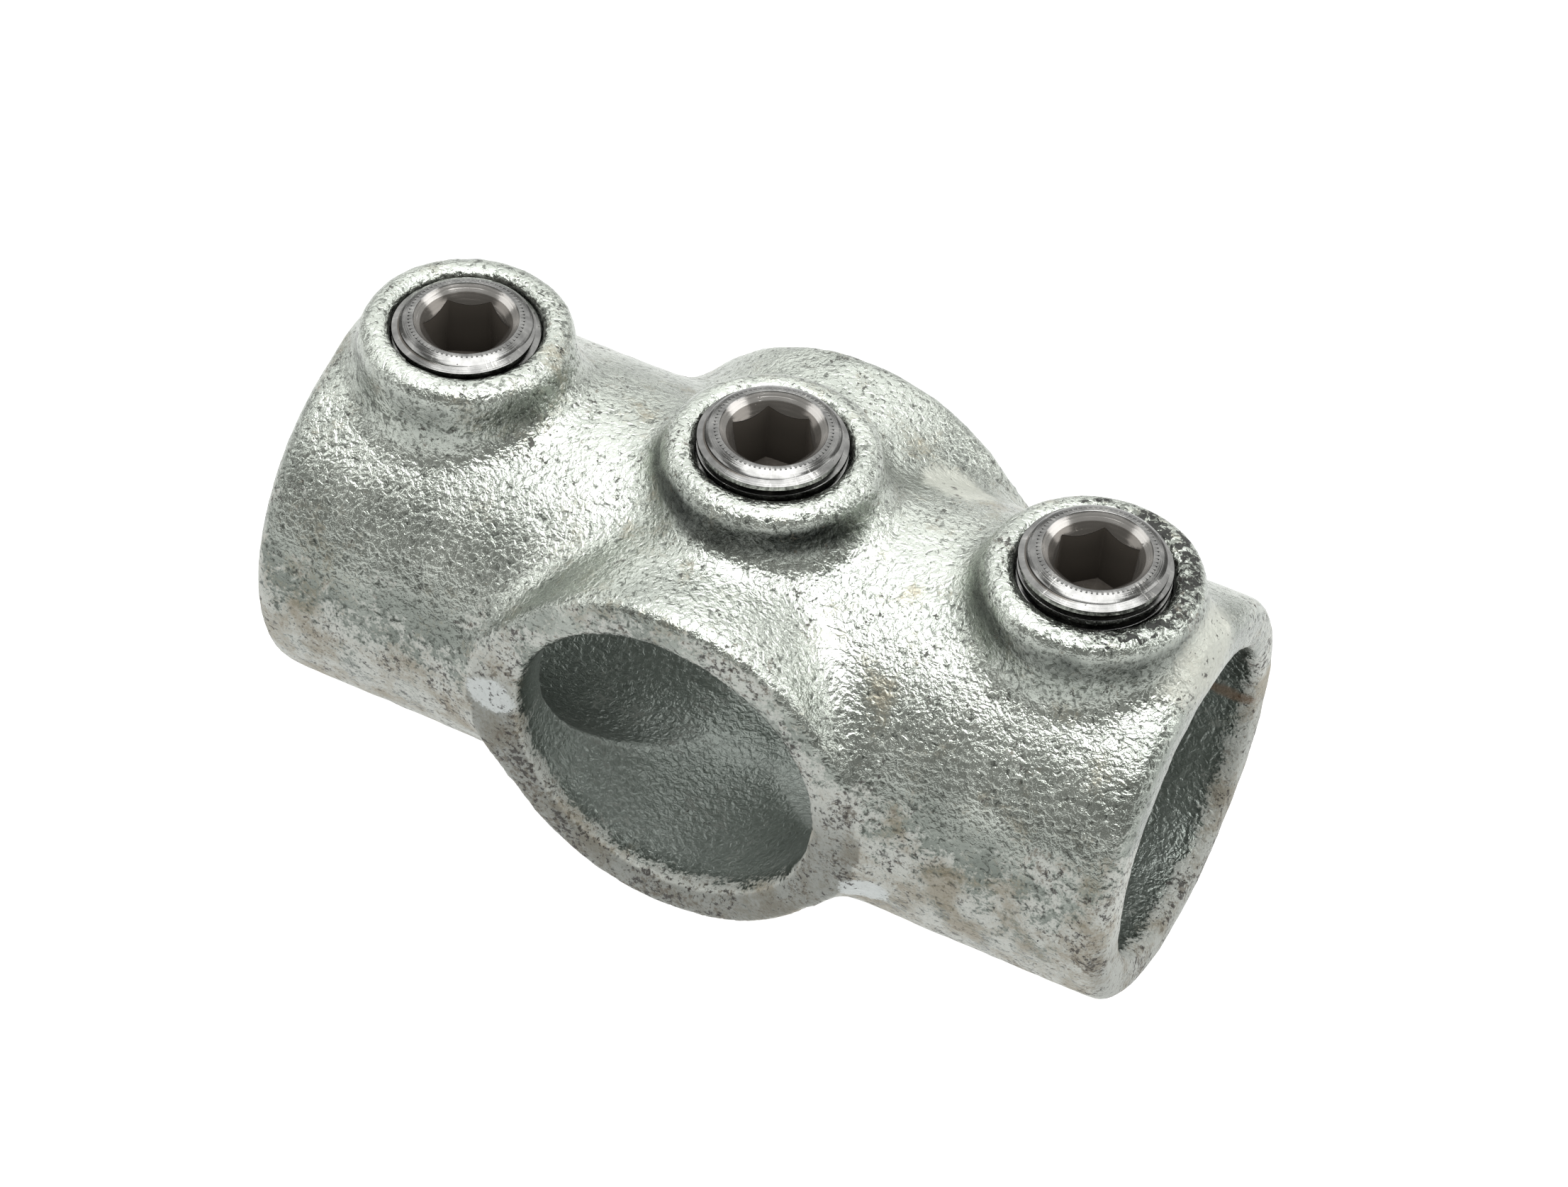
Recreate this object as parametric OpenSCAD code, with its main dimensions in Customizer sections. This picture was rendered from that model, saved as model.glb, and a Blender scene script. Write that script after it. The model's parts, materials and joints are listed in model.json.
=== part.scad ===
/* [Tubes] */
// Outside diameter of the tubes that the fitting joins
tube_d = 33.7; // [30:0.1:38]
// Room across the diameter between the through tube and its bore
through_room = 1.3; // [0.8:0.1:1.8]
// Room across the diameter between an end tube and its socket
socket_room = 0.9; // [0.4:0.1:1.2]

/* [Barrel and collar] */
// Wall of the barrel round each socket
barrel_wall = 5.6; // [4.5:0.1:7]
// Length of the barrel from end to end
barrel_length = 102.5; // [99:0.1:120]
// Wall of the through collar at its rims
collar_wall = 4.9; // [4:0.1:5]
// Length of the collar from rim to rim
collar_length = 46.8; // [44:0.1:56]
// Taper of the collar away from the mould's parting plane, in degrees
collar_draft = 0.8; // [0.4:0.1:1]
// Radius on the outer edges of the barrel's ends
barrel_edge = 2.2; // [1:0.1:3]
// Radius on the outer edges of the collar's rims
collar_edge = 1.5; // [0.8:0.1:2]
// Radius on the mouths of the three bores
mouth_edge = 0.7; // [0.3:0.1:1]
// Radius of the fillet between the collar and the barrel
collar_fillet = 5; // [4:0.25:6]

/* [Bosses] */
// Radius of a boss at its top
boss_r = 11.9; // [10.5:0.1:12.5]
// Height of the boss tops above the barrel
boss_rise = 5.6; // [4.5:0.1:7]
// Distance of each outer boss's axis from its end of the barrel
boss_inset = 14.3; // [13:0.1:17]
// Taper of the bosses, in degrees
boss_draft = 2; // [1:0.25:3]
// Radius on the top edge of a boss
boss_edge = 2; // [1:0.1:2.5]
// Radius of the fillet at the foot of a boss
boss_fillet = 3.5; // [3:0.25:4.5]

/* [Set screws] */
// Diameter of the set screws over their thread
screw_d = 16.1; // [15:0.1:17]
// Length of a set screw
screw_length = 12; // [10.5:0.1:13.5]
// Gap between the thread and the tapped hole, on the radius
thread_gap = 0.1; // [0.05:0.01:0.2]
// Key size of the hexagon socket, across flats
hex_flats = 8; // [6:0.5:8.5]
// Depth of the hexagon socket
hex_depth = 8.5; // [6:0.5:9]
// How far the left screw stands above its boss
left_proud = 0.6; // [0.5:0.1:3]
// How far the centre screw stands above its boss
centre_proud = 1.9; // [0.5:0.1:3]
// How far the right screw stands above its boss
right_proud = 2.4; // [0.5:0.1:3]
// Turn of the left screw's hexagon, in degrees
left_turn = 26; // [0:1:60]
// Turn of the centre screw's hexagon, in degrees
centre_turn = 4; // [0:1:60]
// Turn of the right screw's hexagon, in degrees
right_turn = 44; // [0:1:60]

/* [Hidden] */
$fn = 96;

// Facets along a rounded edge, along a fillet's arc and round a fillet's ring
edge_steps = 4;
arc_steps = 5;
ring_steps = 44;

// A fillet's ball sinks this far into both faces, so its ends run below them
fillet_sink = 0.06;
// A fillet's ring reaches this far below the valley that it fills
fillet_root = 3;
// Least distance of the collar's fillet from the barrel's axis plane
fillet_least = 1;
// The boss fillets end this far inside the barrel's end faces
fillet_inset = 0.15;
// Relief where the bores' cores meet in the middle, beyond the wider bore
core_joint = 0.4;
// Cuts run this far past the faces that they open
past = 1;

through_r = (tube_d + through_room) / 2;
socket_r = (tube_d + socket_room) / 2;
barrel_r = socket_r + barrel_wall;
barrel_half = barrel_length / 2;
collar_half = collar_length / 2;
collar_rim_r = through_r + collar_wall;
collar_mid_r = collar_rim_r + collar_half * tan(collar_draft);

boss_top = barrel_r + boss_rise;
boss_spacing = barrel_half - boss_inset;

screw_r = screw_d / 2;
hole_r = screw_r + thread_gap;
hole_bevel = 0.25;

// Rings on a screw's end, from the thread inwards: a ledge, a neck, a round crown and a cone
thread_bevel = 0.2;
ledge_drop = 0.95;
ledge_rise = 0.2;
neck_w = 0.8;
crown_edge = 0.6;
cone_w = 2.45;
cone_foot = 0.1;
point_bevel = 1.2;
neck_r = screw_r - neck_w;
cone_r = screw_r - cone_w;

function unit(v) = v / norm(v);

// Point at share t of the great arc between two unit vectors
function along(a, b, t) =
    let (w = acos(a * b))
    (sin((1 - t) * w) * a + sin(t * w) * b) / sin(w);

function arc(centre, r, from, to) = [
    for (i = [0 : edge_steps])
        let (a = from + (to - from) * i / edge_steps)
        centre + r * [cos(a), sin(a)]
];

// Cross-section of a fillet: the ball's arc between two touching directions, and a root
function fillet_section(ball, r, first, last) = concat(
    [for (i = [0 : arc_steps]) ball + r * along(first, last, i / arc_steps)],
    [ball + (r + fillet_root) * unit(first + last)]
);

function collar_r_at(y) = collar_mid_r - y * tan(collar_draft);

function boss_r_at(z) = boss_r + (boss_top - z) * tan(boss_draft);

// Height of a ball's centre when it rolls on the barrel or the collar, whichever is higher
function on_barrel(r, p) = sqrt((barrel_r + r) ^ 2 - p[1] ^ 2);
function on_collar(r, p) = sqrt((collar_r_at(abs(p[1])) + r) ^ 2 - p[0] ^ 2);

// Closed ring through cross-sections that all have the same number of points
module ring(sections) {
    count = len(sections);
    size = len(sections[0]);
    polyhedron(
        points = [for (section = sections) each section],
        faces = [
            for (i = [0 : count - 1], j = [0 : size - 1])
                let (
                    next = (i + 1) % count,
                    a = i * size + j,
                    b = i * size + (j + 1) % size,
                    c = next * size + (j + 1) % size,
                    d = next * size + j
                )
                each [[a, c, b], [a, d, c]]
        ]
    );
}

// Round bar along Z with rounded ends, widest in the middle
module bar(half, mid_r, end_r, edge) {
    rotate_extrude()
        polygon(concat(
            [[0, -half]],
            arc([end_r - edge, edge - half], edge, -90, 0),
            [[mid_r, 0]],
            arc([end_r - edge, half - edge], edge, 0, 90),
            [[0, half]]
        ));
}

// Bore along Z with rounded mouths
module bore(half, r) {
    rotate_extrude()
        polygon(concat(
            [[0, -half - past], [r + mouth_edge, -half - past]],
            arc([r + mouth_edge, mouth_edge - half], -mouth_edge, 90, 0),
            arc([r + mouth_edge, half - mouth_edge], -mouth_edge, 0, -90),
            [[r + mouth_edge, half + past], [0, half + past]]
        ));
}

// Fillet all the way round the collar where it leaves one side of the barrel
module collar_blend() {
    r = collar_fillet;
    reach = barrel_r + r - fillet_sink;
    ring([
        for (i = [0 : ring_steps - 1])
            let (
                a = 360 * i / ring_steps,
                guess = sqrt(max(reach ^ 2 - ((collar_rim_r + r) * sin(a)) ^ 2, 0)),
                off = collar_r_at(min(guess, collar_half)) + r - fillet_sink,
                out = sqrt(max(reach ^ 2 - (off * sin(a)) ^ 2, fillet_least ^ 2)),
                ball = [off * cos(a), out, off * sin(a)],
                to_barrel = -unit([0, ball[1], ball[2]]),
                to_collar = -unit([ball[0], 0, ball[2]])
            )
            fillet_section(ball, r, to_barrel, to_collar)
    ]);
}

// Fillet round the foot of a boss on the barrel
module boss_blend() {
    r = boss_fillet;
    ring([
        for (i = [0 : ring_steps - 1])
            let (
                a = 360 * i / ring_steps,
                side = [cos(a), sin(a)],
                spot = (boss_r_at(barrel_r) + r - fillet_sink) * side,
                ball = [spot[0], spot[1], on_barrel(r - fillet_sink, spot)],
                to_ground = -unit([0, ball[1], ball[2]]),
                to_boss = [-side[0], -side[1], 0]
            )
            fillet_section(ball, r, to_boss, to_ground)
    ]);
}

// Fillet round the foot of the middle boss, where the ground is barrel or collar
module centre_boss_blend() {
    r = boss_fillet;
    ring([
        for (i = [0 : ring_steps - 1])
            let (
                a = 360 * (i + 0.5) / ring_steps,
                side = [cos(a), sin(a)],
                spot = (boss_r_at(barrel_r) + r - fillet_sink) * side,
                barrel_z = on_barrel(r - fillet_sink, spot),
                collar_z = on_collar(r - fillet_sink, spot),
                ball = [spot[0], spot[1], max(barrel_z, collar_z)],
                to_ground = -unit(barrel_z > collar_z ? [0, ball[1], ball[2]] : [ball[0], 0, ball[2]]),
                to_boss = [-side[0], -side[1], 0]
            )
            fillet_section(ball, r, to_boss, to_ground)
    ]);
}

// Round bar that ends the boss fillets along the rounded edges of the barrel
module boss_blend_limit() {
    r = barrel_r + boss_fillet;
    bar(barrel_half - fillet_inset, r, r, barrel_edge + boss_fillet);
}

// Boss from the bore axis up, with a rounded top edge
module boss() {
    foot_r = boss_r_at(0);
    rotate_extrude()
        polygon(concat(
            [[0, 0], [foot_r, 0]],
            arc([boss_r - boss_edge, boss_top - boss_edge], boss_edge, 0, 90),
            [[0, boss_top]]
        ));
}

// Plain hole for a set screw's thread, with a bevelled mouth
module screw_hole() {
    cylinder(h = boss_top + past, r = hole_r);
    translate([0, 0, boss_top - hole_bevel])
        cylinder(h = hole_bevel + past, r1 = hole_r, r2 = hole_r + hole_bevel + past);
}

module casting() {
    color("silver")
        difference() {
            union() {
                rotate([0, 90, 0]) bar(barrel_half, barrel_r, barrel_r, barrel_edge);
                rotate([-90, 0, 0]) bar(collar_half, collar_mid_r, collar_rim_r, collar_edge);
                for (x = [-1, 0, 1]) translate([x * boss_spacing, 0, 0]) boss();
                intersection() {
                    union() {
                        collar_blend();
                        mirror([0, 1, 0]) collar_blend();
                    }
                    cube([barrel_length, collar_length, 4 * barrel_r], center = true);
                }
                intersection() {
                    for (x = [-1, 1]) translate([x * boss_spacing, 0, 0]) boss_blend();
                    rotate([0, 90, 0]) boss_blend_limit();
                }
                centre_boss_blend();
            }
            rotate([-90, 90, 0]) bore(collar_half, through_r);
            rotate([0, 90, 0]) bore(barrel_half, socket_r);
            sphere(r = max(through_r, socket_r) + core_joint);
            for (x = [-1, 0, 1]) translate([x * boss_spacing, 0, 0]) screw_hole();
        }
}

// Set screw with its top face at z = 0
module set_screw() {
    hex_r = hex_flats / 2 / cos(30);
    cone_foot_r = hex_flats / 2 - cone_foot;
    cone_depth = cone_r - cone_foot_r;
    color("dimgray")
        difference() {
            rotate_extrude()
                polygon(concat(
                    [
                        [0, -screw_length],
                        [screw_r - point_bevel, -screw_length],
                        [screw_r, point_bevel - screw_length],
                        [screw_r, -ledge_drop - thread_bevel],
                        [screw_r - thread_bevel, -ledge_drop],
                        [neck_r, ledge_rise - ledge_drop]
                    ],
                    arc([neck_r - crown_edge, -crown_edge], crown_edge, 0, 90),
                    [[0, 0]]
                ));
            translate([0, 0, -hex_depth])
                cylinder(h = hex_depth + past, r = hex_r, $fn = 6);
            translate([0, 0, -cone_depth])
                cylinder(h = cone_depth + past, r1 = cone_foot_r, r2 = cone_r + past);
        }
}

module set_screw_left()
    translate([-boss_spacing, 0, boss_top + left_proud]) rotate(left_turn) set_screw();

module set_screw_centre()
    translate([0, 0, boss_top + centre_proud]) rotate(centre_turn) set_screw();

module set_screw_right()
    translate([boss_spacing, 0, boss_top + right_proud]) rotate(right_turn) set_screw();

casting();
set_screw_left();
set_screw_centre();
set_screw_right();
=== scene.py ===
# %% [markdown]
# # Galvanised cross tube clamp
# The object is a malleable-iron casting, dipped in molten zinc, with three hex-socket set screws.
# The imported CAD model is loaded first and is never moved: it is the frame that every piece is fitted to.
# All sizes below are read from it or given in millimetres, because that is how the fitting is measured.

import json
import math

import bmesh
import bpy
import numpy as np
from mathutils import Matrix, Vector

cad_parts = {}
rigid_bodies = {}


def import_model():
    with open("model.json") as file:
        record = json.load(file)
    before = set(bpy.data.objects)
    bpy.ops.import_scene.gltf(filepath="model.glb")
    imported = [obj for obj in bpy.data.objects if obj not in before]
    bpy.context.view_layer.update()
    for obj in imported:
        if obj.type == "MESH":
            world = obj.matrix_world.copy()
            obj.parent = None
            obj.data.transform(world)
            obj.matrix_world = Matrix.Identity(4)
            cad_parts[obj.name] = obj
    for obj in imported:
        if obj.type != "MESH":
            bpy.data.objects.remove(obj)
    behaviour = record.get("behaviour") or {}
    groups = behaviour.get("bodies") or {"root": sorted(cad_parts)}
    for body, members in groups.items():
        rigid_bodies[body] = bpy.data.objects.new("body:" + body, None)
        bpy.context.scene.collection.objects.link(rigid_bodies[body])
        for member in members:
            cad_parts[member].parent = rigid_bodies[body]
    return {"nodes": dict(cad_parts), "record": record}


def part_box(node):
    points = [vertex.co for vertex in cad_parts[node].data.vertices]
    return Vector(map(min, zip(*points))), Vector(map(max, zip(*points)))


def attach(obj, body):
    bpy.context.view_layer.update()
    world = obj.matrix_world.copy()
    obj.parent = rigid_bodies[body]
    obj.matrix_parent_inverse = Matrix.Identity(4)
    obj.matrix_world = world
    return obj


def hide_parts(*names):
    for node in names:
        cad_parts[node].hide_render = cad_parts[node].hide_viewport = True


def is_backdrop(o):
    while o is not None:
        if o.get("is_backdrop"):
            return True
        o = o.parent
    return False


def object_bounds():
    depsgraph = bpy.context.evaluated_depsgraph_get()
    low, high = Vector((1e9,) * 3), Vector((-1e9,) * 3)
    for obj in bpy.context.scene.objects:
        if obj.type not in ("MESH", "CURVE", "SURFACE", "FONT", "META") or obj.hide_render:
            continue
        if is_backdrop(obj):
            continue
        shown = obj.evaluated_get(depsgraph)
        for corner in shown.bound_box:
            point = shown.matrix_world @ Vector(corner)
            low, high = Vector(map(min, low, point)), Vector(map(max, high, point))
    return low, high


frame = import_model()
cad_low, cad_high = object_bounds()
MM = 0.001
print("CAD box in mm:", [round(v / MM, 2) for v in (*cad_low, *cad_high)])

# %% [markdown]
# ## Sizes of the fitting
# The record states the bores as mounts, and the nodes' boxes give the rest.
# Reading them here keeps the finish in place if the CAD model comes with other sizes.

# %% Read the sizes
mounts = {m["name"]: m for m in frame["record"]["mounts"]}
through_r = mounts["through_bore"]["dims"]["r_mm"]
socket_r = mounts["socket_right"]["dims"]["r_mm"]
casting_low, casting_high = [np.array(corner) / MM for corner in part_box("casting")]
barrel_half = casting_high[0]
collar_half = casting_high[1]
barrel_r = -casting_low[2]
boss_top = casting_high[2]
SCREWS = ("set_screw_left", "set_screw_centre", "set_screw_right")
screw_tops = {}
for name in SCREWS:
    low, high = [np.array(corner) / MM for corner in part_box(name)]
    screw_tops[name] = np.array([(low[0] + high[0]) / 2, (low[1] + high[1]) / 2, high[2]])
    print(name, "top at", screw_tops[name].round(2))

# %% [markdown]
# ## Camera
# The photograph looks down on the front right of the fitting through a long lens, slightly rolled.
# The angles come from matching the rims, the boss tops and the barrel's ends to the CAD sizes.
# A camera matrix is built from three unit vectors, which avoids the order of turns of Euler angles.

# %% Place the camera
CAMERA_AZIMUTH = math.radians(24.9037)
CAMERA_ELEVATION = math.radians(45.3565)
CAMERA_ROLL = math.radians(3.5779)
CAMERA_PLACE = Vector((2.382, 4.1195, 461.795)) * MM
CAMERA_LENS = 97.37
back = Vector((
    math.sin(CAMERA_AZIMUTH) * math.cos(CAMERA_ELEVATION),
    -math.cos(CAMERA_AZIMUTH) * math.cos(CAMERA_ELEVATION),
    math.sin(CAMERA_ELEVATION),
))
level = Vector((math.cos(CAMERA_AZIMUTH), math.sin(CAMERA_AZIMUTH), 0))
upright = back.cross(level)
right = math.cos(CAMERA_ROLL) * level + math.sin(CAMERA_ROLL) * upright
up = math.cos(CAMERA_ROLL) * upright - math.sin(CAMERA_ROLL) * level
turn = Matrix((right, up, back)).transposed()
camera = bpy.data.objects.new("camera", bpy.data.cameras.new("camera"))
camera.data.lens = CAMERA_LENS
camera.data.sensor_width = 36
camera.data.clip_start = 0.01
camera.matrix_world = Matrix.Translation(turn @ CAMERA_PLACE) @ turn.to_4x4()
bpy.context.scene.collection.objects.link(camera)
bpy.context.scene.camera = camera
print("camera", [round(v, 4) for v in camera.matrix_world.translation])

# %% [markdown]
# ## Helpers for materials
# Colours are written as sRGB hex values, as a colour chart gives them, and shaders work in linear light.
# One function adds a node, sets its values and links its inputs, so that a material reads from top to bottom.

# %% Colour and node helpers
def linear(hex_colour):
    channels = [int(hex_colour[i:i + 2], 16) / 255 for i in (1, 3, 5)]
    return (*[c / 12.92 if c <= 0.04045 else ((c + 0.055) / 1.055) ** 2.4 for c in channels], 1)


def add_node(tree, kind, inputs=None, **settings):
    node = tree.nodes.new(kind)
    for name, value in settings.items():
        setattr(node, name, value)
    for name, value in (inputs or {}).items():
        if isinstance(value, bpy.types.NodeSocket):
            tree.links.new(value, node.inputs[name])
        else:
            node.inputs[name].default_value = value
    return node


def new_material(name):
    material = bpy.data.materials.new(name)
    material.use_nodes = True
    material.node_tree.nodes.clear()
    return material, material.node_tree


print("middle grey in linear light:", round(linear("#808080")[0], 3))

# %% [markdown]
# ## Studio
# The photograph was taken on a white table under a wide soft light, with white behind the table.
# A matt pale floor, a wide softbox above, a pale screen at the back and a weak fill on each side give
# the same: bright crowns that mirror the softbox and grey flanks that mirror the room round the camera.
# Area lights are used because a metal mirrors their shape, which a sun or a point light does not have.

# %% Floor
FLOOR_SIZE = 6
floor_mesh = bpy.data.meshes.new("floor")
floor_mesh.from_pydata(
    [(x * FLOOR_SIZE / 2, y * FLOOR_SIZE / 2, cad_low[2]) for x, y in ((-1, -1), (1, -1), (1, 1), (-1, 1))],
    [], [(0, 1, 2, 3)],
)
floor = bpy.data.objects.new("floor", floor_mesh)
bpy.context.scene.collection.objects.link(floor)
floor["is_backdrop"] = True
# A matt white that glows a little: it stays white under the fitting, as on an overlit table.
floor_material, tree = new_material("matt_white_table")
shader = add_node(tree, "ShaderNodeBsdfPrincipled", {
    "Base Color": linear("#808080"), "Roughness": 0.9, "Specular IOR Level": 0.1,
    "Emission Color": linear("#FFFFFF"), "Emission Strength": 1.0})
add_node(tree, "ShaderNodeOutputMaterial", {"Surface": shader.outputs[0]})
floor_mesh.materials.append(floor_material)
print("floor at", round(cad_low[2] / MM, 2), "mm")

# %% [markdown]
# Each light has a place and a size in metres and a power in watts, and is turned to face the fitting.

# %% Lights and world
SOFTBOXES = {
    "softbox_above": ((0.02, -0.045, 0.6), (0.55, 0.5), 4.2),
    "screen_behind": ((-0.25, 0.54, 0.53), (1.4, 0.75), 4.4),
    "fill_left": ((-0.6, -0.2, 0.4), (0.4, 0.4), 1.0),
    "fill_right": ((0.6, 0.26, 0.32), (0.45, 0.5), 2.0),
}
for name, (place, size, power) in SOFTBOXES.items():
    light = bpy.data.lights.new(name, "AREA")
    light.shape = "RECTANGLE"
    light.size, light.size_y = size
    light.energy = power
    lamp = bpy.data.objects.new(name, light)
    lamp.location = place
    lamp.rotation_euler = (-Vector(place)).to_track_quat("-Z", "Y").to_euler()
    bpy.context.scene.collection.objects.link(lamp)
world = bpy.data.worlds.new("studio_room")
world.use_nodes = True
world.node_tree.nodes["Background"].inputs["Color"].default_value = linear("#D2D2CE")
world.node_tree.nodes["Background"].inputs["Strength"].default_value = 0.45
bpy.context.scene.world = world
bpy.context.scene.view_settings.view_transform = "Standard"
print("lights:", list(SOFTBOXES))

# %% [markdown]
# ## The skin of the casting
# Sand leaves a casting slightly lumpy, and the zinc freezes on it in a fine orange peel.
# The CAD solid has the exact shape but long thin triangles, which cannot take such a skin.
# A copy is merged and remeshed to even small faces first. The Remesh modifier is the quickest way to that,
# and its voxel is small enough to keep the rounded edges and large enough to stay under the triangle limit.
# A Shrinkwrap then lays every point back on the CAD surface, so the remesh costs no size.

# %% Remesh a copy of the CAD casting
SKIN_VOXEL = 0.7 * MM


def merged_copy(node):
    mesh = frame["nodes"][node].data.copy()
    mesh.materials.clear()
    work = bmesh.new()
    work.from_mesh(mesh)
    bmesh.ops.remove_doubles(work, verts=work.verts, dist=1e-6)
    work.to_mesh(mesh)
    work.free()
    return mesh


def plain_mesh(maker, name):
    graph = bpy.context.evaluated_depsgraph_get()
    mesh = bpy.data.meshes.new_from_object(maker.evaluated_get(graph))
    mesh.name = name
    bpy.data.objects.remove(maker)
    return mesh


blank = bpy.data.objects.new("casting_blank", merged_copy("casting"))
bpy.context.scene.collection.objects.link(blank)
remesh = blank.modifiers.new("even_faces", "REMESH")
remesh.mode = "VOXEL"
remesh.voxel_size = SKIN_VOXEL
remesh.use_smooth_shade = True
solid = bpy.data.objects.new("casting_solid", merged_copy("casting"))
bpy.context.scene.collection.objects.link(solid)
wrap = blank.modifiers.new("back_on_the_solid", "SHRINKWRAP")
wrap.wrap_method = "NEAREST_SURFACEPOINT"
wrap.target = solid
skin_mesh = plain_mesh(blank, "casting_skin")
bpy.data.objects.remove(solid)
print("skin:", len(skin_mesh.vertices), "points,", len(skin_mesh.polygons), "faces")

# %% [markdown]
# ### Where the skin may be smoothed
# The CAD fillets are strips of flat facets, and blurring the points turns them into flowing curves.
# The rims must stay crisp, so each point gets a weight: small in the bores and close to a rim, and 1 where
# only fillets are. A fade is a pair of values: where it starts and where it ends. Most are in millimetres.

# %% Weigh the points for smoothing
def points_mm(mesh):
    flat = np.empty(len(mesh.vertices) * 3, np.float32)
    mesh.vertices.foreach_get("co", flat)
    return flat.reshape(-1, 3).astype(float) / MM


def store(mesh, name, values):
    attribute = mesh.attributes.new(name, "FLOAT", "POINT")
    attribute.data.foreach_set("value", np.asarray(values, np.float32))


def ease(low, high, values):
    share = np.clip((np.asarray(values, float) - low) / (high - low), 0, 1)
    return share * share * (3 - 2 * share)


RIM_MARGIN = 0.6
BORE_MOUTH = 0.2
FAR = 99


def to_edges(spots):
    x, y, z = spots.T
    to_end = barrel_half - np.abs(x)
    to_rim = np.where(np.hypot(x, z) < barrel_r + RIM_MARGIN, collar_half - np.abs(y), FAR)
    return to_end, to_rim, boss_top - z


def in_bores(spots, margin):
    x, y, z = spots.T
    in_socket = (np.hypot(y, z) < socket_r + margin) & (np.abs(x) < barrel_half - BORE_MOUTH)
    in_through = (np.hypot(x, z) < through_r + margin) & (np.abs(y) < collar_half - BORE_MOUTH)
    return in_socket, in_through


CRISP = 0.12
CRISP_FADE = (2.0, 4.5)
spots = points_mm(skin_mesh)
in_socket, in_through = in_bores(spots, margin=1)
to_nearest = np.min(to_edges(spots), axis=0)
smoothing = np.where(in_socket | in_through, CRISP, CRISP + (1 - CRISP) * ease(*CRISP_FADE, to_nearest))
store(skin_mesh, "smoothing", smoothing)
print("points to smooth:", int((smoothing > 0.5).sum()), "of", len(spots))

# %% [markdown]
# ### Lumps and peel as a rule
# A Geometry Nodes tree moves each point along its normal by noise of two sizes, after the blur.
# As a tree, the sizes are named inputs that can be changed without touching the mesh.
# All moves go inwards, so that the skin never grows past the CAD model's box.

# %% Build the skin tree
def new_tree(name, sockets):
    tree = bpy.data.node_groups.new(name, "GeometryNodeTree")
    tree.interface.new_socket("Geometry", in_out="INPUT", socket_type="NodeSocketGeometry")
    for label, kind in sockets.items():
        tree.interface.new_socket(label, in_out="INPUT", socket_type="NodeSocket" + kind)
    tree.interface.new_socket("Geometry", in_out="OUTPUT", socket_type="NodeSocketGeometry")
    return tree, tree.nodes.new("NodeGroupInput").outputs


def grow(maker, tree, values):
    modifier = maker.modifiers.new(tree.name, "NODES")
    modifier.node_group = tree
    for item in tree.interface.items_tree:
        if item.in_out == "INPUT" and item.name in values:
            modifier[item.identifier] = values[item.name]


skin_tree, given = new_tree("cast_skin", {
    "Smoothing": "Int", "Lump size": "Float", "Lump height": "Float",
    "Peel size": "Float", "Peel height": "Float", "Finish": "Material"})
weight = add_node(skin_tree, "GeometryNodeInputNamedAttribute", {"Name": "smoothing"}, data_type="FLOAT")
place = add_node(skin_tree, "GeometryNodeInputPosition")
blurred = add_node(skin_tree, "GeometryNodeBlurAttribute", {
    "Value": place.outputs[0], "Iterations": given["Smoothing"], "Weight": weight.outputs[0]},
    data_type="FLOAT_VECTOR")
even = add_node(skin_tree, "GeometryNodeSetPosition", {
    "Geometry": given["Geometry"], "Position": blurred.outputs[0]})
HIGHEST_NOISE = 0.72
offset = None
for label, depth in (("Lump", 2), ("Peel", 1)):
    pitch = add_node(skin_tree, "ShaderNodeMath", {0: 1.0, 1: given[label + " size"]}, operation="DIVIDE")
    noise = add_node(skin_tree, "ShaderNodeTexNoise", {
        "Vector": place.outputs[0], "Scale": pitch.outputs[0], "Detail": depth}, normalize=True)
    inward = add_node(skin_tree, "ShaderNodeMath", {
        0: noise.outputs[0], 1: HIGHEST_NOISE}, operation="SUBTRACT")
    height = add_node(skin_tree, "ShaderNodeMath", {
        0: inward.outputs[0], 1: given[label + " height"]}, operation="MULTIPLY")
    offset = height if offset is None else add_node(
        skin_tree, "ShaderNodeMath", {0: offset.outputs[0], 1: height.outputs[0]}, operation="ADD")
normal = add_node(skin_tree, "GeometryNodeInputNormal")
shift = add_node(skin_tree, "ShaderNodeVectorMath", {
    0: normal.outputs[0], "Scale": offset.outputs[0]}, operation="SCALE")
lumpy = add_node(skin_tree, "GeometryNodeSetPosition", {
    "Geometry": even.outputs[0], "Offset": shift.outputs[0]})
whole = add_node(skin_tree, "GeometryNodeRealizeInstances", {"Geometry": lumpy.outputs[0]})
dressed = add_node(skin_tree, "GeometryNodeSetMaterial", {
    "Geometry": whole.outputs[0], "Material": given["Finish"]})
add_node(skin_tree, "NodeGroupOutput", {"Geometry": dressed.outputs[0]})
print("skin tree:", len(skin_tree.nodes), "nodes")
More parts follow.
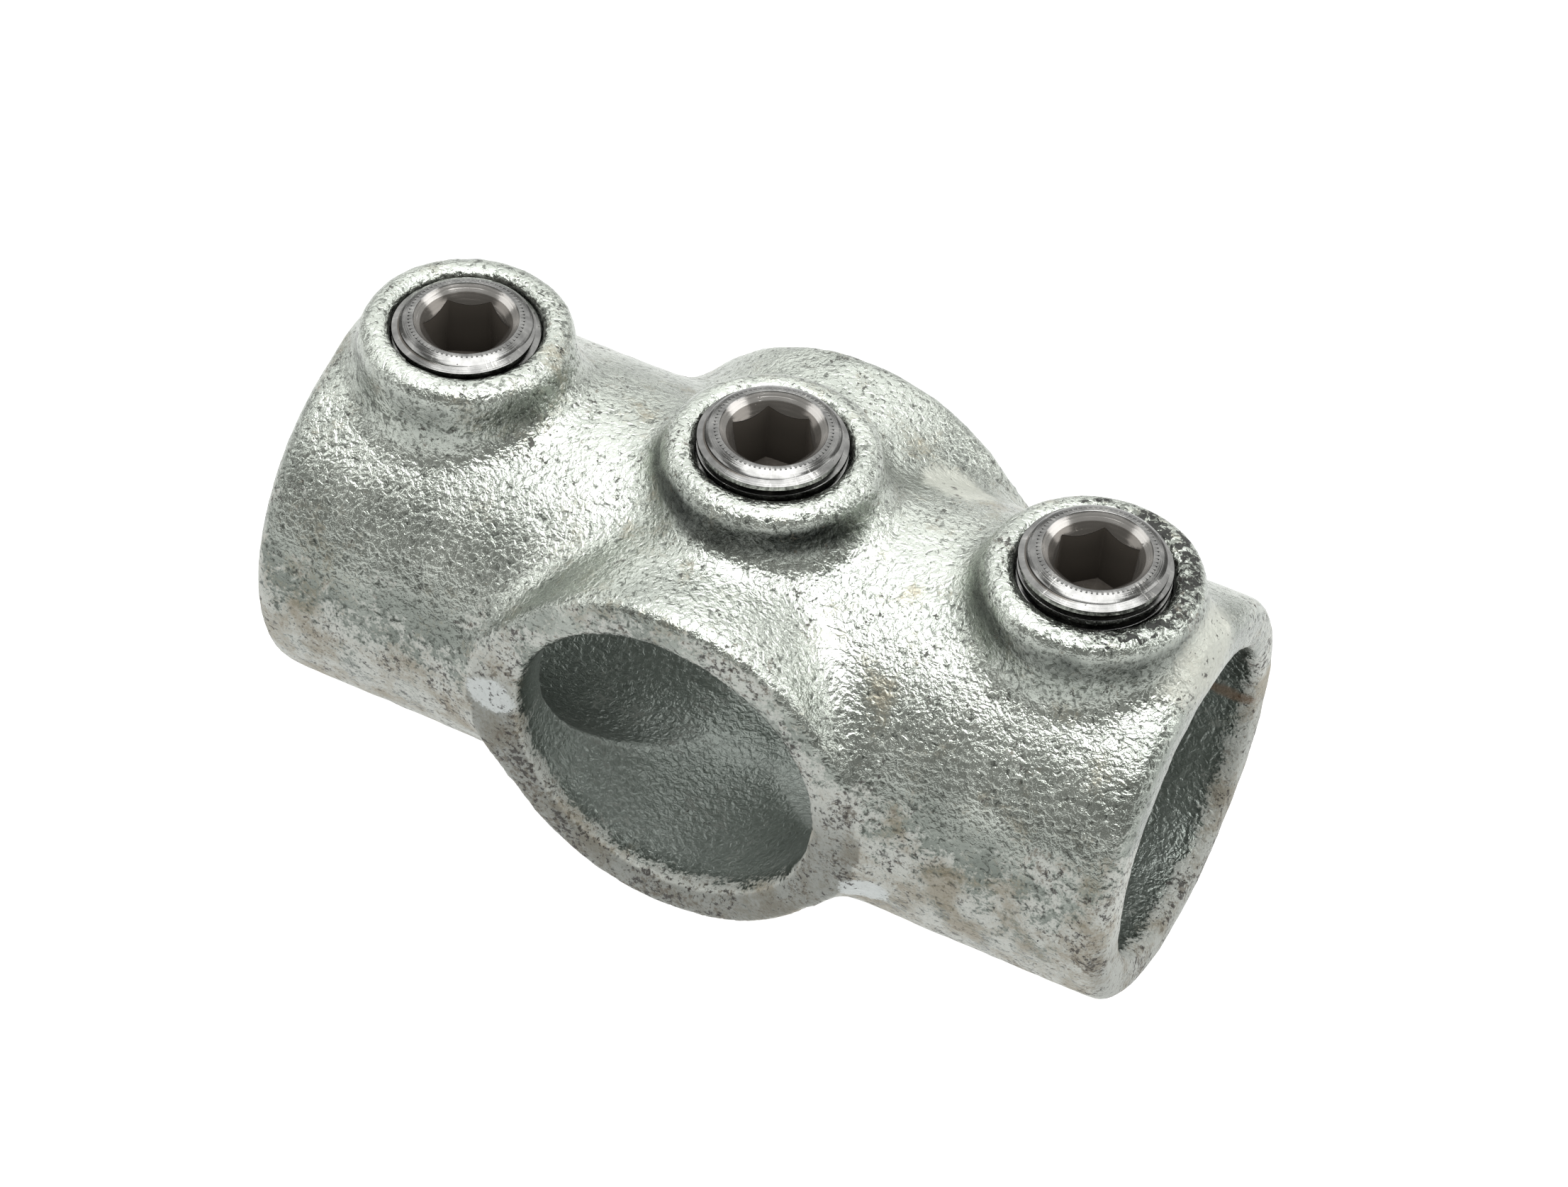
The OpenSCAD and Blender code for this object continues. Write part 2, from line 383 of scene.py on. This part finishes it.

# %% [markdown]
# ### Hot-dip zinc
# Zinc on sand-cast iron is a bright, slightly green metal with a grain of about half a millimetre.
# Where it has weathered it is a matt pale grey, dirt stays in its wrinkles and dark specks lie in clusters.
# It could be painted as an image, but noises in the shader follow the solid and have no seams.
# They make the grain, the patches and the specks: a row gives a size in millimetres, the detail, the
# roughness and the distortion of a noise. Attributes that are stored on the skin later say where the rims,
# the bores, the underside, the painted shadow and oil round the screws, the painted shade on the boss walls
# and the stains are.

# %% Material of the casting
# Fresh zinc gives the eye many small creased mirrors, and weathered zinc gives it a chalky matt grey.
zinc, tree = new_material("hot_dip_zinc_on_cast_iron")
object_place = add_node(tree, "ShaderNodeTexCoord")
in_mm = add_node(tree, "ShaderNodeMapping", {
    "Vector": object_place.outputs["Object"], "Scale": (1 / MM, 1 / MM, 1 / MM)}).outputs[0]
NOISES = {
    "wrinkle": (0.75, 3, 0.5, 0.6),
    "grain": (0.36, 2, 0.6, 0.0),
    "peel": (0.9, 4, 0.7, 0.3),
    "patch": (5, 7, 0.72, 0.5),
    "cloud": (9, 4, 0.6, 0.0),
    "speck": (0.7, 4, 0.7, 0.0),
    "speck_field": (5, 3, 0.6, 0.0),
    "tan_field": (6, 5, 0.65, 0.0),
    "soot_field": (1.1, 3, 0.65, 0.5),
}
fields = {}
for name, (size_mm, detail, roughness, distortion) in NOISES.items():
    fields[name] = add_node(tree, "ShaderNodeTexNoise", {
        "Vector": in_mm, "Scale": 1 / size_mm, "Detail": detail, "Roughness": roughness,
        "Distortion": distortion}, noise_type="FBM", normalize=True).outputs[0]
for name in ("rim", "bore", "grime", "under", "steep", "foot", "soot", "rust_spot", "bloom_spot",
             "haze_spot"):
    fields[name] = add_node(tree, "ShaderNodeAttribute", attribute_name=name).outputs["Fac"]
print("fields of the zinc:", list(fields))

# %% [markdown]
# Each mask is a weighted sum of those fields with a soft threshold, so a patch follows the grain at its edge.
# A row gives the weights, where the mask starts, where it is full and how strong it is then.
# A mask joins the fields when it is made, so a later one can build on it, as the matt one does.

# %% Masks of the zinc
MASKS = {
    # Besides its random clouds, the bright coat lies on the upper surfaces and thins out towards the
    # underside, the walls and the rims.
    "bright": ({"cloud": 0.6, "under": -0.4, "steep": -0.1, "rim": -0.1}, -0.1, 0.5, 1.0),
    # Painted shade with some dirt: the valleys of the wrinkles are painted dark, a little more on steep
    # walls.
    "crease_shade_and_dirt": ({"wrinkle": -1, "grain": -0.3, "steep": 0.06, "soot": 0.15, "rim": -0.04, "under": -0.05},
             -0.58, -0.42, 0.65),
    # Painted dark reflection with some dirt on the front of the boss walls, below their tops.
    "shade": ({"foot": 0.8, "patch": 0.9, "wrinkle": 0.6}, 0.9, 1.7, 1.0),
    "sooty": ({"soot_field": 1, "soot": 0.22}, 0.72, 0.78, 0.95),
    "weathered": ({"patch": 1, "under": 0.3, "rim": 0.16, "grain": 0.4, "wrinkle": 0.3, "bore": -0.4},
                  0.98, 1.12, 0.85),
    "tanned": ({"tan_field": 1, "under": 0.12, "grain": 0.3, "bore": -0.2}, 0.7, 0.92, 0.6),
    "mottled": ({"peel": 0.7, "patch": 0.7, "grain": 0.4, "rim": 0.05, "under": 0.05}, 1.02, 1.14, 0.75),
    "specks": ({"speck": 1, "speck_field": 0.5, "rim": 0.04, "under": 0.03, "bore": -0.1}, 0.89, 0.96, 0.85),
    "rust": ({"rust_spot": 0.8, "patch": 0.8, "peel": 0.4}, 0.8, 1.3, 0.7),
    "bloom": ({"bloom_spot": 0.7, "patch": 1.2, "grain": 0.4}, 1.1, 1.25, 0.85),
    "hazy": ({"haze_spot": 0.8, "patch": 0.7, "grain": 0.3}, 0.9, 1.25, 0.65),
    "dim": ({"bore": 1}, 0.0, 1.0, 0.6),
    # Painted shade: where rim and underside meet, the lower rim is painted darker, as if it mirrored the dark
    # room.
    "painted_lower_rim_shade": ({"rim": 1, "under": 1, "bore": -1}, 1.35, 1.95, 0.55),
    "matt": ({"weathered": 0.75, "tanned": 0.6, "specks": 0.8, "mottled": 0.6, "sooty": 0.7, "bloom": 1,
              "hazy": 0.8, "rust": 0.8, "bore": 0.3, "grime": 1}, 0.0, 1.0, 1.0),
}


def weighted_sum(tree, fields, weights):
    total = 0.0
    for name, weight in weights.items():
        total = add_node(tree, "ShaderNodeMath", {0: fields[name], 1: weight, 2: total},
                         operation="MULTIPLY_ADD").outputs[0]
    return total


def make_masks(tree, fields, masks):
    for name, (weights, start, full, strength) in masks.items():
        fields[name] = add_node(tree, "ShaderNodeMapRange", {
            "Value": weighted_sum(tree, fields, weights), "From Min": start, "From Max": full,
            "To Max": strength}, interpolation_type="SMOOTHSTEP").outputs[0]


make_masks(tree, fields, MASKS)
print("masks of the zinc:", list(MASKS))

# %% [markdown]
# The colours lie over each other like coats: bright zinc, grey oxide, tan stains, painted shade and dirt in
# the wrinkles, painted dark reflection and dirt on the boss walls, the painted shade of the lower rim, the
# dimmer bores and pale bloom, then specks, rust and a black ring round the screws that paints the gap's
# shadow and oil.
# The relief is bump, because creases of a quarter of a millimetre would take millions of faces.

# %% Colours and relief of the zinc
def lay_coats(tree, fields, ground, coats):
    # Inputs 0, 6 and 7 of a colour Mix are its share and its two colours, and output 2 is the result.
    colour = linear(ground)
    for name, coat in coats.items():
        colour = add_node(tree, "ShaderNodeMix", {0: fields[name], 6: colour, 7: linear(coat)},
                          data_type="RGBA").outputs[2]
    return colour


# The coats of the wrinkles, the boss walls, the lower rim and the ring round the screws are painted shade,
# mixed with dirt and oil.
colour = lay_coats(tree, fields, "#6E746E", {
    "bright": "#C9CEC6", "weathered": "#BFC1BB", "tanned": "#7C6E52", "crease_shade_and_dirt": "#22251F", "shade": "#242725",
    "sooty": "#151512", "painted_lower_rim_shade": "#4E524C", "mottled": "#5C5548", "dim": "#A2A9A4", "hazy": "#BFC0B6",
    "bloom": "#C8CDCC", "specks": "#2A2420", "rust": "#6E5233", "grime": "#100E0B"})
ZINC_RELIEF_MM = {"grain": 0.06, "wrinkle": 0.26, "specks": -0.08, "sooty": -0.06}
bump = add_node(tree, "ShaderNodeBump", {
    "Strength": 1.0, "Distance": MM, "Height": weighted_sum(tree, fields, ZINC_RELIEF_MM)})
metallic = add_node(tree, "ShaderNodeMapRange", {"Value": fields["matt"], "To Min": 1.0, "To Max": 0.1})
roughness = add_node(tree, "ShaderNodeMapRange", {"Value": fields["matt"], "To Min": 0.27, "To Max": 0.65})
shader = add_node(tree, "ShaderNodeBsdfPrincipled", {
    "Base Color": colour, "Metallic": metallic.outputs[0], "Roughness": roughness.outputs[0],
    "Normal": bump.outputs[0]})
add_node(tree, "ShaderNodeOutputMaterial", {"Surface": shader.outputs[0]})
print("zinc:", len(tree.nodes), "nodes")

# %% [markdown]
# ### The finished casting
# The tree runs once and its result becomes a plain mesh that stands for the CAD casting.

# %% Make the casting
maker = bpy.data.objects.new("skin_maker", skin_mesh)
bpy.context.scene.collection.objects.link(maker)
grow(maker, skin_tree, {
    "Smoothing": 8, "Lump size": 9 * MM, "Lump height": 0.35 * MM,
    "Peel size": 2.0 * MM, "Peel height": 0.18 * MM, "Finish": zinc})
casting = bpy.data.objects.new("zinc_casting", plain_mesh(maker, "zinc_casting"))
bpy.context.scene.collection.objects.link(casting)
casting.data.shade_smooth()
print("casting:", len(casting.data.polygons), "faces")

# %% [markdown]
# ### Where the finish changes
# Handling and weather reach the rims, the bores and the underside differently, so each point is told how far
# it belongs to each of them. Point attributes are used because they follow the piece and need no image.

# %% Mark the rims, bores and underside
BORE_FADE = (0, 5)
END_SHARE = 0.7
END_FADE = (0.6, 3.5)
RIM_FADE = (0.15, 1.0)
UNDER_FADE = (-6, 16)
# The steepness goes by the upward share of the normal, from 0 on a wall to 1 on level ground.
STEEP_FADE = (0.0, 0.7)
spots = points_mm(casting.data)
x, y, z = spots.T
in_socket, in_through = in_bores(spots, margin=0.7)
to_end, to_rim, below_top = to_edges(spots)
depth = np.where(in_socket, to_end, collar_half - np.abs(y))
store(casting.data, "bore", np.where(in_socket | in_through, ease(*BORE_FADE, depth), 0))
rim = np.maximum(END_SHARE * (1 - ease(*END_FADE, to_end)), 1 - ease(*RIM_FADE, to_rim))
store(casting.data, "rim", rim)
store(casting.data, "under", 1 - ease(*UNDER_FADE, z))
normals = np.empty(len(spots) * 3, np.float32)
casting.data.vertex_normals.foreach_get("vector", normals)
store(casting.data, "steep", 1 - ease(*STEEP_FADE, normals.reshape(-1, 3)[:, 2]))
print("points on the rims:", int((rim > 0.5).sum()))

# %% [markdown]
# Oil creeps out of the thread and leaves soot on the boss tops, and a black ring round each screw paints both
# its oil and the shadow in the gap between screw and boss.
# Below the tops, the front of each boss wall is darkened with a painted dark reflection and dirt, and each
# boss has its own share of that.

# %% Mark the bosses
SOOT_SHARE = np.array([0.4, 0.3, 1.0])
# How strongly each boss wall is darkened with painted dark reflection and dirt.
WALL_SHADE_SHARE = np.array([0.45, 0.95, 0.7])
TOP_FADE = (-1.2, -0.4)
GAP_SHADOW_FADE = (8.15, 8.5)
SOOT_FADE = (-9, 5)
WALL_TOP = (0.8, 2.4)
WALL_FOOT = (3.8, 6.6)
WALL_REACH = (12.8, 16.5)
FRONT_FADE = (3, -6)
boss_x = np.array([screw_tops[name][0] for name in SCREWS])
nearest = np.abs(x[:, None] - boss_x).argmin(axis=1)
aside = x - boss_x[nearest]
from_screw = np.hypot(aside, y)
on_top = ease(*TOP_FADE, z - boss_top)
# A black ring of painted shadow in the gap round each screw, with the oil from its thread.
store(casting.data, "grime", on_top * (1 - ease(*GAP_SHADOW_FADE, from_screw)))
store(casting.data, "soot", SOOT_SHARE[nearest] * on_top * ease(*SOOT_FADE, aside + 0.5 * y))
wall = ease(*WALL_TOP, below_top) * (1 - ease(*WALL_FOOT, below_top)) * (1 - ease(*WALL_REACH, from_screw))
# The front of each boss wall: painted dark reflection with some dirt.
store(casting.data, "foot", WALL_SHADE_SHARE[nearest] * wall * ease(*FRONT_FADE, y))
print("points on the boss tops:", int((on_top > 0.5).sum()))

# %% [markdown]
# Single stains are ellipsoids, each with a centre and a reach along the axes in millimetres.
# The finished casting then rides on the CAD casting's body and is shown in its stead.

# %% Mark the stains and hand the casting over
STAINS = {
    "rust_spot": (((48.0, 17.3, -0.4), (5.0, 3.0, 1.3)), ((-14.6, -10.0, -9.7), (0.9, 0.9, 0.9))),
    "bloom_spot": (((-20.8, -22.9, 0.3), (4.6, 4.0, 3.8)), ((24.0, -21.5, -7.0), (5.0, 4.0, 4.0))),
    "haze_spot": (((16.0, 12.0, 17.0), (9.0, 9.0, 8.0)), ((48.5, 0.0, 21.0), (6.0, 14.0, 8.0))),
}
# A stain fades by shares of its reach.
STAIN_FADE = (0.3, 1.0)
for name, stains in STAINS.items():
    reach = [np.linalg.norm((spots - np.array(centre)) / np.array(size), axis=1) for centre, size in stains]
    store(casting.data, name, 1 - ease(*STAIN_FADE, np.min(reach, axis=0)))
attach(casting, "casting")
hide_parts("casting")
print("stains:", {name: len(stains) for name, stains in STAINS.items()})

# %% [markdown]
# ## Set screws
# Each screw was turned from bar, its hexagon broached and its thread cut. A lathe profile is the natural way
# to model it: rings of points from the cup point up the shank, over the rounded crown, down the cone
# and into the hexagon. Where the cone meets the flats of the hexagon the edge is scalloped.
# A row gives a radius and a height in millimetres, measured from the screw's axis and top.

# %% Profile of a screw
low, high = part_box(SCREWS[0])
POINT = (low[2] - high[2]) / MM
ROOT_R = 7.2
HEX_FLAT = 4.0
HEX_DEPTH = 8.5
CONE_R = 5.6
CONE_TOP = -0.12
BROKEN_EDGE = 0.05
FLOOR_DROP = 0.3
STEPS = 144
angles = np.arange(STEPS) * 2 * math.pi / STEPS
hex_r = HEX_FLAT / np.cos(np.mod(angles, math.pi / 3) - math.pi / 6)
whole_turn = np.ones(STEPS)
OUTSIDE = (
    (4.6, POINT + 0.8), (5.6, POINT + 0.05), (5.9, POINT), (6.7, POINT), (7.0, POINT + 0.3),
    (ROOT_R, POINT + 0.5), (ROOT_R, -0.72), (7.17, -0.6), (7.06, -0.5), (6.8, -0.36), (6.5, -0.21),
    (6.2, -0.08), (6.02, -0.02), (5.85, -0.012), (5.7, -0.05), (5.62, -0.14),
)
rings = [(radius * whole_turn, height * whole_turn) for radius, height in OUTSIDE]
for share in (0.25, 0.5, 0.75, 1.0):
    cone_r = CONE_R + (hex_r + BROKEN_EDGE - CONE_R) * share
    rings.append((cone_r, cone_r - CONE_R + CONE_TOP))
rings.append((hex_r, cone_r - CONE_R + CONE_TOP - 2 * BROKEN_EDGE))
rings.append((hex_r, -HEX_DEPTH * whole_turn))
rings.append((hex_r * 0.5, -(HEX_DEPTH + FLOOR_DROP) * whole_turn))
print("screw profile:", len(rings), "rings of", STEPS, "points")

# %% [markdown]
# Neighbouring rings are joined by four-sided faces, and the cup and the hexagon's floor are closed by fans.

# %% Turn the body of a screw
CUP_DEPTH = 1.4
FLOOR_MIDDLE = -HEX_DEPTH - 0.5
points = []
for radii, heights in rings:
    points += zip(radii * np.cos(angles), radii * np.sin(angles), heights)
faces = []
for ring in range(len(rings) - 1):
    for step in range(STEPS):
        near, far = ring * STEPS + step, ring * STEPS + (step + 1) % STEPS
        faces.append((near, far, far + STEPS, near + STEPS))
last = (len(rings) - 1) * STEPS
points += [(0, 0, POINT + CUP_DEPTH), (0, 0, FLOOR_MIDDLE)]
for step in range(STEPS):
    after = (step + 1) % STEPS
    faces.append((len(points) - 2, after, step))
    faces.append((len(points) - 1, last + step, last + after))
body_mesh = bpy.data.meshes.new("screw_body")
body_mesh.from_pydata([tuple(c * MM for c in p) for p in points], [], faces)
body_mesh.validate()
print("screw body:", len(body_mesh.polygons), "faces")

# %% [markdown]
# ### Thread and serrations
# A thread is a ridge that follows a helix, and the raised ring round the cone is stamped with fine teeth.
# Both repeat by a rule, so a Geometry Nodes tree adds them: a spiral curve carries the thread's section,
# and a circle of points carries the teeth. The same tree then sets each screw to its height and turn.
# The spiral is reversed, which makes the thread right-handed, and its section shrinks at the upper end,
# as a cutter leaves it where it runs out.

# %% Thread of the screw tree
STEPS_PER_TURN = 96
ROOT_SHARE = 0.4
CREST_SHARE = 0.2
RUN_OUT_STARTS = 0.975
RUN_OUT_SCALE = 0.05
screw_tree, given = new_tree("set_screw", {
    "Pitch": "Float", "Turns": "Float", "Root radius": "Float", "Thread depth": "Float",
    "Thread foot": "Float", "Teeth": "Int", "Teeth radius": "Float", "Tooth": "Vector",
    "Place": "Vector", "Turn": "Vector", "Finish": "Material"})
rise = add_node(screw_tree, "ShaderNodeMath", {0: given["Pitch"], 1: given["Turns"]}, operation="MULTIPLY")
helix = add_node(screw_tree, "GeometryNodeCurveSpiral", {
    "Resolution": STEPS_PER_TURN, "Rotations": given["Turns"], "Reverse": True, "Height": rise.outputs[0],
    "Start Radius": given["Root radius"], "End Radius": given["Root radius"]})
foot = add_node(screw_tree, "ShaderNodeCombineXYZ", {"Z": given["Thread foot"]})
helix_up = add_node(screw_tree, "GeometryNodeTransform", {
    "Geometry": helix.outputs[0], "Translation": foot.outputs[0]})
level_helix = add_node(screw_tree, "GeometryNodeSetCurveNormal", {"Curve": helix_up.outputs[0]}, mode="Z_UP")
half_width, crest_width = [
    add_node(screw_tree, "ShaderNodeMath", {0: given["Pitch"], 1: share}, operation="MULTIPLY")
    for share in (ROOT_SHARE, CREST_SHARE)]
SUNK = -0.1 * MM
corners = {}
for number, (out, width, side) in enumerate((
        (SUNK, half_width, -1), (given["Thread depth"], crest_width, -1),
        (given["Thread depth"], crest_width, 1), (SUNK, half_width, 1)), 1):
    along = add_node(screw_tree, "ShaderNodeMath", {0: width.outputs[0], 1: side}, operation="MULTIPLY")
    corners["Point %d" % number] = add_node(
        screw_tree, "ShaderNodeCombineXYZ", {"X": out, "Y": along.outputs[0]}).outputs[0]
section = add_node(screw_tree, "GeometryNodeCurvePrimitiveQuadrilateral", corners, mode="POINTS")
along = add_node(screw_tree, "GeometryNodeSplineParameter")
run_out = add_node(screw_tree, "ShaderNodeMapRange", {
    "Value": along.outputs["Factor"], "From Min": 1.0, "From Max": RUN_OUT_STARTS, "To Min": RUN_OUT_SCALE})
thread = add_node(screw_tree, "GeometryNodeCurveToMesh", {
    "Curve": level_helix.outputs[0], "Profile Curve": section.outputs[0], "Scale": run_out.outputs[0],
    "Fill Caps": True})
print("thread:", len(screw_tree.nodes), "nodes")

# %% [markdown]
# A tooth is a small block that hangs from the height of the crown and points away from the axis.

# %% Teeth of the screw tree
teeth_ring = add_node(screw_tree, "GeometryNodeMeshCircle", {
    "Vertices": given["Teeth"], "Radius": given["Teeth radius"]})
tooth = add_node(screw_tree, "GeometryNodeMeshCube", {"Size": given["Tooth"]})
sizes = add_node(screw_tree, "ShaderNodeSeparateXYZ", {0: given["Tooth"]})
drop = add_node(screw_tree, "ShaderNodeMath", {0: sizes.outputs[2], 1: -0.5}, operation="MULTIPLY")
tooth_drop = add_node(screw_tree, "ShaderNodeCombineXYZ", {"Z": drop.outputs[0]})
low_tooth = add_node(screw_tree, "GeometryNodeTransform", {
    "Geometry": tooth.outputs[0], "Translation": tooth_drop.outputs[0]})
spot = add_node(screw_tree, "GeometryNodeInputPosition")
outward = add_node(screw_tree, "FunctionNodeAlignRotationToVector", {"Vector": spot.outputs[0]}, axis="X")
teeth = add_node(screw_tree, "GeometryNodeInstanceOnPoints", {
    "Points": teeth_ring.outputs[0], "Instance": low_tooth.outputs[0], "Rotation": outward.outputs[0]})
print("thread and teeth:", len(screw_tree.nodes), "nodes")

# %% [markdown]
# Before the screw is moved to its place, each point keeps its distance from the axis, its height and its
# direction as attributes. The steel's lathe rings and oil follow them wherever the screw stands.

# %% Marks and place in the screw tree
joined = add_node(screw_tree, "GeometryNodeJoinGeometry")
for part in (given["Geometry"], thread.outputs[0], teeth.outputs[0]):
    screw_tree.links.new(part, joined.inputs[0])
whole = add_node(screw_tree, "GeometryNodeRealizeInstances", {"Geometry": joined.outputs[0]})
apart = add_node(screw_tree, "ShaderNodeSeparateXYZ", {0: spot.outputs[0]})
flat = add_node(screw_tree, "ShaderNodeCombineXYZ", {"X": apart.outputs[0], "Y": apart.outputs[1]})
reach = add_node(screw_tree, "ShaderNodeVectorMath", {0: flat.outputs[0]}, operation="LENGTH")
marked = add_node(screw_tree, "GeometryNodeStoreNamedAttribute", {
    "Geometry": whole.outputs[0], "Name": "from_axis", "Value": reach.outputs["Value"]}, data_type="FLOAT")
marked = add_node(screw_tree, "GeometryNodeStoreNamedAttribute", {
    "Geometry": marked.outputs[0], "Name": "height", "Value": apart.outputs[2]}, data_type="FLOAT")
around = add_node(screw_tree, "ShaderNodeVectorMath", {0: flat.outputs[0]}, operation="NORMALIZE")
marked = add_node(screw_tree, "GeometryNodeStoreNamedAttribute", {
    "Geometry": marked.outputs[0], "Name": "around", "Value": around.outputs[0]}, data_type="FLOAT_VECTOR")
turned = add_node(screw_tree, "FunctionNodeEulerToRotation", {0: given["Turn"]})
placed = add_node(screw_tree, "GeometryNodeTransform", {
    "Geometry": marked.outputs[0], "Translation": given["Place"], "Rotation": turned.outputs[0]})
dressed = add_node(screw_tree, "GeometryNodeSetMaterial", {
    "Geometry": placed.outputs[0], "Material": given["Finish"]})
add_node(screw_tree, "NodeGroupOutput", {"Geometry": dressed.outputs[0]})
print("screw tree:", len(screw_tree.nodes), "nodes")

# %% [markdown]
# ### Turned steel
# The screws are bare steel, darker and warmer than the zinc. The lathe has left fine rings round the axis.
# An anisotropic shader could give their sheen, but bump that follows the stored distance from the axis also
# shows the single rings. The thread's grooves hold old oil, and the hexagon is painted dark as shade.

# %% Material of the screws
# Turned steel gives the eye narrow bands of light on a smooth dark metal.
steel, tree = new_material("turned_steel_with_oil_film")
fields = {}
for name in ("from_axis", "height"):
    fields[name] = add_node(tree, "ShaderNodeAttribute", attribute_name=name).outputs["Fac"]
around = add_node(tree, "ShaderNodeAttribute", attribute_name="around").outputs["Vector"]
object_place = add_node(tree, "ShaderNodeTexCoord").outputs["Object"]
# Real lathe marks are finer: they are drawn this coarse so that they show.
RING_PITCH = 0.16
SCUFFS_AROUND = 90
ring_place = add_node(tree, "ShaderNodeMath", {0: fields["from_axis"], 1: 1 / (RING_PITCH * MM)},
                      operation="MULTIPLY")
fields["rings"] = add_node(tree, "ShaderNodeTexNoise", {
    "W": ring_place.outputs[0], "Scale": 1.0, "Detail": 3}, noise_dimensions="1D").outputs[0]
fields["scuffs"] = add_node(tree, "ShaderNodeTexNoise", {
    "Vector": around, "Scale": SCUFFS_AROUND / math.tau, "Detail": 3}).outputs[0]
for name, size_mm, detail in (("smudge", 1.6, 4), ("pores", 0.5, 3)):
    fields[name] = add_node(tree, "ShaderNodeTexNoise", {
        "Vector": object_place, "Scale": 1 / (size_mm * MM), "Detail": detail}).outputs[0]
print("fields of the steel:", list(fields))

# %% [markdown]
# The grooves of the thread hold black oil, small pores hold dirt, and the crown is scuffed across by keys and
# by handling. The hexagon is painted dark as shade, darkest towards its floor. Radii and heights below are in
# millimetres, measured from the screw's axis and top.
# The masks and coats are made as those of the zinc are.

# %% Masks and colours of the steel
STEEL_MASKS = {
    "worn": ({"smudge": 1}, 0.2, 0.8, 1.0),
    "root": ({"from_axis": -1 / MM}, -7.5, -7.25, 1.0),
    "below": ({"height": -1 / MM}, 0.66, 0.8, 1.0),
    # Oil in the thread's grooves, and painted shade over the inside of the hexagon, below the crown.
    "oil_and_socket_shade": ({"root": 1, "below": 1}, 1.2, 1.9, 0.8),
    "inside": ({"from_axis": -1 / MM}, -5.1, -4.9, 1.0),
    "beneath": ({"from_axis": 1 / MM, "height": -1 / MM}, CONE_R + 0.16, CONE_R + 0.3, 1.0),
    "socket": ({"inside": 1, "beneath": 1}, 1.2, 1.9, 1.0),
    # Painted shade: the hexagon is painted darker towards its floor.
    "painted_socket_shade": ({"height": -1 / MM, "from_axis": -0.4 / MM}, 4.0, 7.5, 0.75),
    "cone": ({"from_axis": -1 / MM, "smudge": 0.2}, -5.65, -5.45, 0.8),
    "dull": ({"cone": 0.45, "socket": 0.3}, 0.0, 1.0, 1.0),
    "dirt": ({"pores": 1, "smudge": 0.3}, 0.86, 0.94, 0.8),
    "crown": ({"from_axis": 1 / MM}, 5.7, 5.9, 1.0),
    "scuffed": ({"scuffs": 1, "smudge": 0.8, "crown": 0.2}, 1.2, 1.4, 0.4),
}
make_masks(tree, fields, STEEL_MASKS)
colour = lay_coats(tree, fields, "#666665", {
    "worn": "#8A8A88", "cone": "#ADAAA6", "scuffed": "#B4B2AE", "dirt": "#2C2620", "socket": "#756F68",
    "painted_socket_shade": "#3A3630", "oil_and_socket_shade": "#4A453F"})
STEEL_RELIEF_MM = {"rings": 0.012, "scuffed": -0.02, "dirt": -0.02}
bump = add_node(tree, "ShaderNodeBump", {
    "Strength": 1.0, "Distance": MM, "Height": weighted_sum(tree, fields, STEEL_RELIEF_MM)})
roughness = add_node(tree, "ShaderNodeMapRange", {
    "Value": fields["rings"], "From Min": 0.3, "From Max": 0.7, "To Min": 0.13, "To Max": 0.24})
metallic = add_node(tree, "ShaderNodeMapRange", {"Value": fields["dull"], "To Min": 1.0, "To Max": 0.1})
shader = add_node(tree, "ShaderNodeBsdfPrincipled", {
    "Base Color": colour, "Metallic": metallic.outputs[0], "Roughness": roughness.outputs[0],
    "Normal": bump.outputs[0]})
add_node(tree, "ShaderNodeOutputMaterial", {"Surface": shader.outputs[0]})
print("steel:", len(tree.nodes), "nodes")

# %% [markdown]
# ### The three screws
# The screws are alike, but each was left at its own height and turn. The thread's upper end faces the front
# right on all of them, so the number of turns makes up for the turn of the hexagon.

# %% Make the three screws
TURNS_DEG = {"set_screw_left": 26, "set_screw_centre": 4, "set_screw_right": 44}
PITCH = 1.337
THREAD_DEPTH = 0.78
THREAD_TURNS = 7
THREAD_END_DEG = 40
THREAD_END_Z = -0.76
TEETH = 72
TEETH_R = 6.05
TOOTH = (0.45, 0.2, 0.1)
SHARP_DEG = 32
for name in SCREWS:
    maker = bpy.data.objects.new(name + "_maker", body_mesh.copy())
    bpy.context.scene.collection.objects.link(maker)
    turns = THREAD_TURNS + (THREAD_END_DEG - TURNS_DEG[name]) / 360
    grow(maker, screw_tree, {
        "Pitch": PITCH * MM, "Turns": turns, "Root radius": ROOT_R * MM, "Thread depth": THREAD_DEPTH * MM,
        "Thread foot": (THREAD_END_Z - PITCH * turns) * MM, "Teeth": TEETH, "Teeth radius": TEETH_R * MM,
        "Tooth": [c * MM for c in TOOTH], "Place": [c * MM for c in screw_tops[name]],
        "Turn": [0, 0, math.radians(TURNS_DEG[name])], "Finish": steel})
    screw = bpy.data.objects.new(name + "_steel", plain_mesh(maker, name + "_steel"))
    bpy.context.scene.collection.objects.link(screw)
    screw.data.set_sharp_from_angle(angle=math.radians(SHARP_DEG))
    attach(screw, name)
    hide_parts(name)
    reach = points_mm(screw.data) - screw_tops[name]
    print(name, len(screw.data.polygons), "faces, radius", np.hypot(reach[:, 0], reach[:, 1]).max().round(3),
          "top", reach[:, 2].max().round(3), "foot", reach[:, 2].min().round(3))

# %% [markdown]
# ## Sizes before and after
# The finish must not change the fitting's size, so both boxes are written down for comparison.

# %% Write the boxes and finish
low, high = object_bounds()
print("visual box in mm:", [round(v / MM, 2) for v in (*low, *high)])
